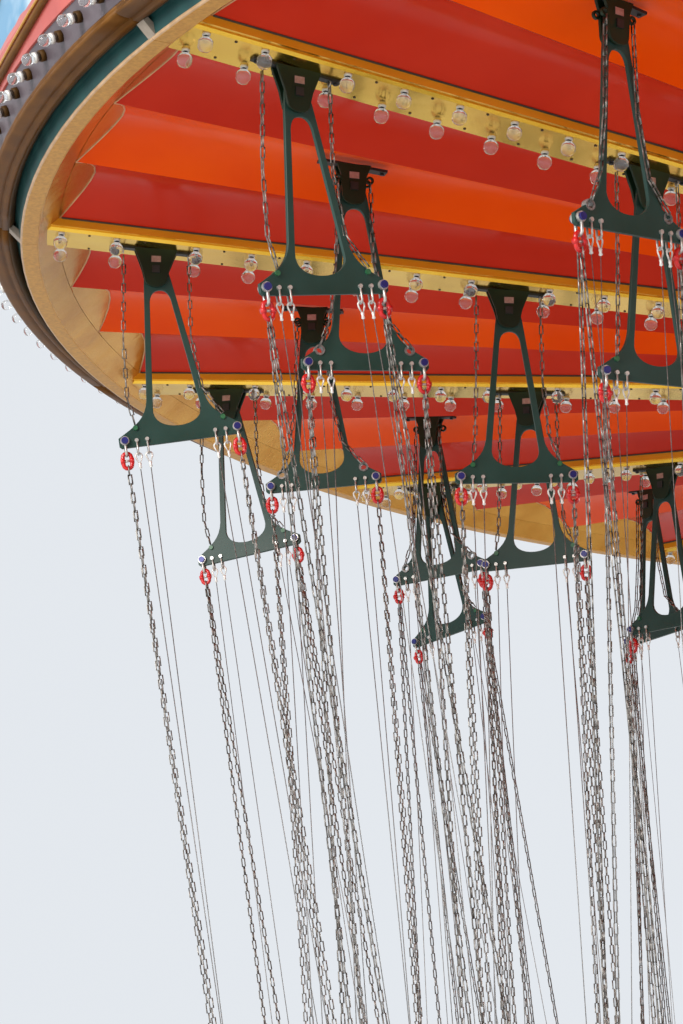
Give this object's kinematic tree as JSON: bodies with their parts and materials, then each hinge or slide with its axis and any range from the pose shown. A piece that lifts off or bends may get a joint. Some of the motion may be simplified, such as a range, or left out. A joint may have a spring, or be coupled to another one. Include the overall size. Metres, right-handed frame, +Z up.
{
  "type": "chair swing ride",
  "caption": "Chair swing ride: a round canopy on a central column, with radial sweeps and three rows of chairs that hang on chains from hinged hangers.",
  "frame": {"origin": "centre of the feet, on the ground", "axes": "+Z up along the column, which is the axis the canopy turns about; +X along a sweep"},
  "size_m": [13.78, 13.78, 9.64],
  "materials": {
    "base_paint": "satin dark red paint",
    "drum_paint": "gloss red paint with gold mouldings",
    "mast_gold": "gold lacquered metal",
    "bearing_steel": "machined steel",
    "sweep_gold": "gold lacquered sheet",
    "ceiling_lacquer": "glossy red and orange coved panels",
    "ring_gold": "pale speckled gold",
    "cornice_bronze": "dark bronze moulding",
    "board_paint": "red lacquer with gold frames",
    "roof_sheet": "red and cream canvas",
    "hanger_green": "dark green satin paint"
  },
  "bodies": {
    "root": {"base_frame": "base_paint", "base_drum": "drum_paint", "mast": "mast_gold", "slewing_bearing": "bearing_steel"},
    "canopy": {"hub_drum": "mast_gold", "sweep_frame": "sweep_gold", "ceiling": "ceiling_lacquer", "rim_ring": "ring_gold", "cornice": "cornice_bronze", "rounding_boards": "board_paint", "roof": "roof_sheet", "finial": "mast_gold"},
    "swing_outer_01": {"swing_outer_01": "hanger_green"},
    "swing_outer_02": {"swing_outer_02": "hanger_green"},
    "swing_outer_03": {"swing_outer_03": "hanger_green"},
    "swing_outer_04": {"swing_outer_04": "hanger_green"},
    "swing_outer_05": {"swing_outer_05": "hanger_green"},
    "swing_outer_06": {"swing_outer_06": "hanger_green"},
    "swing_outer_07": {"swing_outer_07": "hanger_green"},
    "swing_outer_08": {"swing_outer_08": "hanger_green"},
    "swing_outer_09": {"swing_outer_09": "hanger_green"},
    "swing_outer_10": {"swing_outer_10": "hanger_green"},
    "swing_outer_11": {"swing_outer_11": "hanger_green"},
    "swing_outer_12": {"swing_outer_12": "hanger_green"},
    "swing_outer_13": {"swing_outer_13": "hanger_green"},
    "swing_outer_14": {"swing_outer_14": "hanger_green"},
    "swing_outer_15": {"swing_outer_15": "hanger_green"},
    "swing_outer_16": {"swing_outer_16": "hanger_green"},
    "swing_middle_01": {"swing_middle_01": "hanger_green"},
    "swing_middle_02": {"swing_middle_02": "hanger_green"},
    "swing_middle_03": {"swing_middle_03": "hanger_green"},
    "swing_middle_04": {"swing_middle_04": "hanger_green"},
    "swing_middle_05": {"swing_middle_05": "hanger_green"},
    "swing_middle_06": {"swing_middle_06": "hanger_green"},
    "swing_middle_07": {"swing_middle_07": "hanger_green"},
    "swing_middle_08": {"swing_middle_08": "hanger_green"},
    "swing_middle_09": {"swing_middle_09": "hanger_green"},
    "swing_middle_10": {"swing_middle_10": "hanger_green"},
    "swing_middle_11": {"swing_middle_11": "hanger_green"},
    "swing_middle_12": {"swing_middle_12": "hanger_green"},
    "swing_middle_13": {"swing_middle_13": "hanger_green"},
    "swing_middle_14": {"swing_middle_14": "hanger_green"},
    "swing_middle_15": {"swing_middle_15": "hanger_green"},
    "swing_middle_16": {"swing_middle_16": "hanger_green"},
    "swing_inner_01": {"swing_inner_01": "hanger_green"},
    "swing_inner_02": {"swing_inner_02": "hanger_green"},
    "swing_inner_03": {"swing_inner_03": "hanger_green"},
    "swing_inner_04": {"swing_inner_04": "hanger_green"},
    "swing_inner_05": {"swing_inner_05": "hanger_green"},
    "swing_inner_06": {"swing_inner_06": "hanger_green"},
    "swing_inner_07": {"swing_inner_07": "hanger_green"},
    "swing_inner_08": {"swing_inner_08": "hanger_green"},
    "swing_inner_09": {"swing_inner_09": "hanger_green"},
    "swing_inner_10": {"swing_inner_10": "hanger_green"},
    "swing_inner_11": {"swing_inner_11": "hanger_green"},
    "swing_inner_12": {"swing_inner_12": "hanger_green"},
    "swing_inner_13": {"swing_inner_13": "hanger_green"},
    "swing_inner_14": {"swing_inner_14": "hanger_green"},
    "swing_inner_15": {"swing_inner_15": "hanger_green"},
    "swing_inner_16": {"swing_inner_16": "hanger_green"}
  },
  "joints": [
    {"name": "canopy_spin", "type": "hinge", "parent": "root", "child": "canopy", "pos_m": [0, 0, 5.11], "axis": [0, 0, 1], "continuous": true},
    {"name": "outer_01_hinge", "type": "hinge", "parent": "canopy", "child": "swing_outer_01", "pos_m": [6, 0, 6.097], "axis": [0, -1, 0], "range_deg": [-2, 38]},
    {"name": "outer_02_hinge", "type": "hinge", "parent": "canopy", "child": "swing_outer_02", "pos_m": [5.54328, 2.2961, 6.097], "axis": [0.3827, -0.9239, 0], "range_deg": [-2, 38]},
    {"name": "outer_03_hinge", "type": "hinge", "parent": "canopy", "child": "swing_outer_03", "pos_m": [4.24264, 4.24264, 6.097], "axis": [0.7071, -0.7071, 0], "range_deg": [-2, 38]},
    {"name": "outer_04_hinge", "type": "hinge", "parent": "canopy", "child": "swing_outer_04", "pos_m": [2.2961, 5.54328, 6.097], "axis": [0.9239, -0.3827, 0], "range_deg": [-2, 38]},
    {"name": "outer_05_hinge", "type": "hinge", "parent": "canopy", "child": "swing_outer_05", "pos_m": [0, 6, 6.097], "axis": [1, 0, 0], "range_deg": [-2, 38]},
    {"name": "outer_06_hinge", "type": "hinge", "parent": "canopy", "child": "swing_outer_06", "pos_m": [-2.2961, 5.54328, 6.097], "axis": [0.9239, 0.3827, 0], "range_deg": [-2, 38]},
    {"name": "outer_07_hinge", "type": "hinge", "parent": "canopy", "child": "swing_outer_07", "pos_m": [-4.24264, 4.24264, 6.097], "axis": [0.7071, 0.7071, 0], "range_deg": [-2, 38]},
    {"name": "outer_08_hinge", "type": "hinge", "parent": "canopy", "child": "swing_outer_08", "pos_m": [-5.54328, 2.2961, 6.097], "axis": [0.3827, 0.9239, 0], "range_deg": [-2, 38]},
    {"name": "outer_09_hinge", "type": "hinge", "parent": "canopy", "child": "swing_outer_09", "pos_m": [-6, 0, 6.097], "axis": [0, 1, 0], "range_deg": [-2, 38]},
    {"name": "outer_10_hinge", "type": "hinge", "parent": "canopy", "child": "swing_outer_10", "pos_m": [-5.54328, -2.2961, 6.097], "axis": [-0.3827, 0.9239, 0], "range_deg": [-2, 38]},
    {"name": "outer_11_hinge", "type": "hinge", "parent": "canopy", "child": "swing_outer_11", "pos_m": [-4.24264, -4.24264, 6.097], "axis": [-0.7071, 0.7071, 0], "range_deg": [-2, 38]},
    {"name": "outer_12_hinge", "type": "hinge", "parent": "canopy", "child": "swing_outer_12", "pos_m": [-2.2961, -5.54328, 6.097], "axis": [-0.9239, 0.3827, 0], "range_deg": [-2, 38]},
    {"name": "outer_13_hinge", "type": "hinge", "parent": "canopy", "child": "swing_outer_13", "pos_m": [0, -6, 6.097], "axis": [-1, 0, 0], "range_deg": [-2, 38]},
    {"name": "outer_14_hinge", "type": "hinge", "parent": "canopy", "child": "swing_outer_14", "pos_m": [2.2961, -5.54328, 6.097], "axis": [-0.9239, -0.3827, 0], "range_deg": [-2, 38]},
    {"name": "outer_15_hinge", "type": "hinge", "parent": "canopy", "child": "swing_outer_15", "pos_m": [4.24264, -4.24264, 6.097], "axis": [-0.7071, -0.7071, 0], "range_deg": [-2, 38]},
    {"name": "outer_16_hinge", "type": "hinge", "parent": "canopy", "child": "swing_outer_16", "pos_m": [5.54328, -2.2961, 6.097], "axis": [-0.3827, -0.9239, 0], "range_deg": [-2, 38]},
    {"name": "middle_01_hinge", "type": "hinge", "parent": "canopy", "child": "swing_middle_01", "pos_m": [5.20797, 1.03593, 6.16263], "axis": [0.1951, -0.9808, 0], "range_deg": [-2, 38]},
    {"name": "middle_02_hinge", "type": "hinge", "parent": "canopy", "child": "swing_middle_02", "pos_m": [4.4151, 2.95008, 6.16263], "axis": [0.5556, -0.8315, 0], "range_deg": [-2, 38]},
    {"name": "middle_03_hinge", "type": "hinge", "parent": "canopy", "child": "swing_middle_03", "pos_m": [2.95008, 4.4151, 6.16263], "axis": [0.8315, -0.5556, 0], "range_deg": [-2, 38]},
    {"name": "middle_04_hinge", "type": "hinge", "parent": "canopy", "child": "swing_middle_04", "pos_m": [1.03593, 5.20797, 6.16263], "axis": [0.9808, -0.1951, 0], "range_deg": [-2, 38]},
    {"name": "middle_05_hinge", "type": "hinge", "parent": "canopy", "child": "swing_middle_05", "pos_m": [-1.03593, 5.20797, 6.16263], "axis": [0.9808, 0.1951, 0], "range_deg": [-2, 38]},
    {"name": "middle_06_hinge", "type": "hinge", "parent": "canopy", "child": "swing_middle_06", "pos_m": [-2.95008, 4.4151, 6.16263], "axis": [0.8315, 0.5556, 0], "range_deg": [-2, 38]},
    {"name": "middle_07_hinge", "type": "hinge", "parent": "canopy", "child": "swing_middle_07", "pos_m": [-4.4151, 2.95008, 6.16263], "axis": [0.5556, 0.8315, 0], "range_deg": [-2, 38]},
    {"name": "middle_08_hinge", "type": "hinge", "parent": "canopy", "child": "swing_middle_08", "pos_m": [-5.20797, 1.03593, 6.16263], "axis": [0.1951, 0.9808, 0], "range_deg": [-2, 38]},
    {"name": "middle_09_hinge", "type": "hinge", "parent": "canopy", "child": "swing_middle_09", "pos_m": [-5.20797, -1.03593, 6.16263], "axis": [-0.1951, 0.9808, 0], "range_deg": [-2, 38]},
    {"name": "middle_10_hinge", "type": "hinge", "parent": "canopy", "child": "swing_middle_10", "pos_m": [-4.4151, -2.95008, 6.16263], "axis": [-0.5556, 0.8315, 0], "range_deg": [-2, 38]},
    {"name": "middle_11_hinge", "type": "hinge", "parent": "canopy", "child": "swing_middle_11", "pos_m": [-2.95008, -4.4151, 6.16263], "axis": [-0.8315, 0.5556, 0], "range_deg": [-2, 38]},
    {"name": "middle_12_hinge", "type": "hinge", "parent": "canopy", "child": "swing_middle_12", "pos_m": [-1.03593, -5.20797, 6.16263], "axis": [-0.9808, 0.1951, 0], "range_deg": [-2, 38]},
    {"name": "middle_13_hinge", "type": "hinge", "parent": "canopy", "child": "swing_middle_13", "pos_m": [1.03593, -5.20797, 6.16263], "axis": [-0.9808, -0.1951, 0], "range_deg": [-2, 38]},
    {"name": "middle_14_hinge", "type": "hinge", "parent": "canopy", "child": "swing_middle_14", "pos_m": [2.95008, -4.4151, 6.16263], "axis": [-0.8315, -0.5556, 0], "range_deg": [-2, 38]},
    {"name": "middle_15_hinge", "type": "hinge", "parent": "canopy", "child": "swing_middle_15", "pos_m": [4.4151, -2.95008, 6.16263], "axis": [-0.5556, -0.8315, 0], "range_deg": [-2, 38]},
    {"name": "middle_16_hinge", "type": "hinge", "parent": "canopy", "child": "swing_middle_16", "pos_m": [5.20797, -1.03593, 6.16263], "axis": [-0.1951, -0.9808, 0], "range_deg": [-2, 38]},
    {"name": "inner_01_hinge", "type": "hinge", "parent": "canopy", "child": "swing_inner_01", "pos_m": [4.4, 0, 5.957], "axis": [0, -1, 0], "range_deg": [-2, 38]},
    {"name": "inner_02_hinge", "type": "hinge", "parent": "canopy", "child": "swing_inner_02", "pos_m": [4.06507, 1.68381, 5.957], "axis": [0.3827, -0.9239, 0], "range_deg": [-2, 38]},
    {"name": "inner_03_hinge", "type": "hinge", "parent": "canopy", "child": "swing_inner_03", "pos_m": [3.11127, 3.11127, 5.957], "axis": [0.7071, -0.7071, 0], "range_deg": [-2, 38]},
    {"name": "inner_04_hinge", "type": "hinge", "parent": "canopy", "child": "swing_inner_04", "pos_m": [1.68381, 4.06507, 5.957], "axis": [0.9239, -0.3827, 0], "range_deg": [-2, 38]},
    {"name": "inner_05_hinge", "type": "hinge", "parent": "canopy", "child": "swing_inner_05", "pos_m": [0, 4.4, 5.957], "axis": [1, 0, 0], "range_deg": [-2, 38]},
    {"name": "inner_06_hinge", "type": "hinge", "parent": "canopy", "child": "swing_inner_06", "pos_m": [-1.68381, 4.06507, 5.957], "axis": [0.9239, 0.3827, 0], "range_deg": [-2, 38]},
    {"name": "inner_07_hinge", "type": "hinge", "parent": "canopy", "child": "swing_inner_07", "pos_m": [-3.11127, 3.11127, 5.957], "axis": [0.7071, 0.7071, 0], "range_deg": [-2, 38]},
    {"name": "inner_08_hinge", "type": "hinge", "parent": "canopy", "child": "swing_inner_08", "pos_m": [-4.06507, 1.68381, 5.957], "axis": [0.3827, 0.9239, 0], "range_deg": [-2, 38]},
    {"name": "inner_09_hinge", "type": "hinge", "parent": "canopy", "child": "swing_inner_09", "pos_m": [-4.4, 0, 5.957], "axis": [0, 1, 0], "range_deg": [-2, 38]},
    {"name": "inner_10_hinge", "type": "hinge", "parent": "canopy", "child": "swing_inner_10", "pos_m": [-4.06507, -1.68381, 5.957], "axis": [-0.3827, 0.9239, 0], "range_deg": [-2, 38]},
    {"name": "inner_11_hinge", "type": "hinge", "parent": "canopy", "child": "swing_inner_11", "pos_m": [-3.11127, -3.11127, 5.957], "axis": [-0.7071, 0.7071, 0], "range_deg": [-2, 38]},
    {"name": "inner_12_hinge", "type": "hinge", "parent": "canopy", "child": "swing_inner_12", "pos_m": [-1.68381, -4.06507, 5.957], "axis": [-0.9239, 0.3827, 0], "range_deg": [-2, 38]},
    {"name": "inner_13_hinge", "type": "hinge", "parent": "canopy", "child": "swing_inner_13", "pos_m": [0, -4.4, 5.957], "axis": [-1, 0, 0], "range_deg": [-2, 38]},
    {"name": "inner_14_hinge", "type": "hinge", "parent": "canopy", "child": "swing_inner_14", "pos_m": [1.68381, -4.06507, 5.957], "axis": [-0.9239, -0.3827, 0], "range_deg": [-2, 38]},
    {"name": "inner_15_hinge", "type": "hinge", "parent": "canopy", "child": "swing_inner_15", "pos_m": [3.11127, -3.11127, 5.957], "axis": [-0.7071, -0.7071, 0], "range_deg": [-2, 38]},
    {"name": "inner_16_hinge", "type": "hinge", "parent": "canopy", "child": "swing_inner_16", "pos_m": [4.06507, -1.68381, 5.957], "axis": [-0.3827, -0.9239, 0], "range_deg": [-2, 38]}
  ],
  "couplings": [
    {"joint": "outer_02_hinge", "follows": "outer_01_hinge", "ratio": 1},
    {"joint": "outer_03_hinge", "follows": "outer_01_hinge", "ratio": 1},
    {"joint": "outer_04_hinge", "follows": "outer_01_hinge", "ratio": 1},
    {"joint": "outer_05_hinge", "follows": "outer_01_hinge", "ratio": 1},
    {"joint": "outer_06_hinge", "follows": "outer_01_hinge", "ratio": 1},
    {"joint": "outer_07_hinge", "follows": "outer_01_hinge", "ratio": 1},
    {"joint": "outer_08_hinge", "follows": "outer_01_hinge", "ratio": 1},
    {"joint": "outer_09_hinge", "follows": "outer_01_hinge", "ratio": 1},
    {"joint": "outer_10_hinge", "follows": "outer_01_hinge", "ratio": 1},
    {"joint": "outer_11_hinge", "follows": "outer_01_hinge", "ratio": 1},
    {"joint": "outer_12_hinge", "follows": "outer_01_hinge", "ratio": 1},
    {"joint": "outer_13_hinge", "follows": "outer_01_hinge", "ratio": 1},
    {"joint": "outer_14_hinge", "follows": "outer_01_hinge", "ratio": 1},
    {"joint": "outer_15_hinge", "follows": "outer_01_hinge", "ratio": 1},
    {"joint": "outer_16_hinge", "follows": "outer_01_hinge", "ratio": 1},
    {"joint": "middle_01_hinge", "follows": "outer_01_hinge", "ratio": 1},
    {"joint": "middle_02_hinge", "follows": "outer_01_hinge", "ratio": 1},
    {"joint": "middle_03_hinge", "follows": "outer_01_hinge", "ratio": 1},
    {"joint": "middle_04_hinge", "follows": "outer_01_hinge", "ratio": 1},
    {"joint": "middle_05_hinge", "follows": "outer_01_hinge", "ratio": 1},
    {"joint": "middle_06_hinge", "follows": "outer_01_hinge", "ratio": 1},
    {"joint": "middle_07_hinge", "follows": "outer_01_hinge", "ratio": 1},
    {"joint": "middle_08_hinge", "follows": "outer_01_hinge", "ratio": 1},
    {"joint": "middle_09_hinge", "follows": "outer_01_hinge", "ratio": 1},
    {"joint": "middle_10_hinge", "follows": "outer_01_hinge", "ratio": 1},
    {"joint": "middle_11_hinge", "follows": "outer_01_hinge", "ratio": 1},
    {"joint": "middle_12_hinge", "follows": "outer_01_hinge", "ratio": 1},
    {"joint": "middle_13_hinge", "follows": "outer_01_hinge", "ratio": 1},
    {"joint": "middle_14_hinge", "follows": "outer_01_hinge", "ratio": 1},
    {"joint": "middle_15_hinge", "follows": "outer_01_hinge", "ratio": 1},
    {"joint": "middle_16_hinge", "follows": "outer_01_hinge", "ratio": 1},
    {"joint": "inner_01_hinge", "follows": "outer_01_hinge", "ratio": 1},
    {"joint": "inner_02_hinge", "follows": "outer_01_hinge", "ratio": 1},
    {"joint": "inner_03_hinge", "follows": "outer_01_hinge", "ratio": 1},
    {"joint": "inner_04_hinge", "follows": "outer_01_hinge", "ratio": 1},
    {"joint": "inner_05_hinge", "follows": "outer_01_hinge", "ratio": 1},
    {"joint": "inner_06_hinge", "follows": "outer_01_hinge", "ratio": 1},
    {"joint": "inner_07_hinge", "follows": "outer_01_hinge", "ratio": 1},
    {"joint": "inner_08_hinge", "follows": "outer_01_hinge", "ratio": 1},
    {"joint": "inner_09_hinge", "follows": "outer_01_hinge", "ratio": 1},
    {"joint": "inner_10_hinge", "follows": "outer_01_hinge", "ratio": 1},
    {"joint": "inner_11_hinge", "follows": "outer_01_hinge", "ratio": 1},
    {"joint": "inner_12_hinge", "follows": "outer_01_hinge", "ratio": 1},
    {"joint": "inner_13_hinge", "follows": "outer_01_hinge", "ratio": 1},
    {"joint": "inner_14_hinge", "follows": "outer_01_hinge", "ratio": 1},
    {"joint": "inner_15_hinge", "follows": "outer_01_hinge", "ratio": 1},
    {"joint": "inner_16_hinge", "follows": "outer_01_hinge", "ratio": 1}
  ]
}
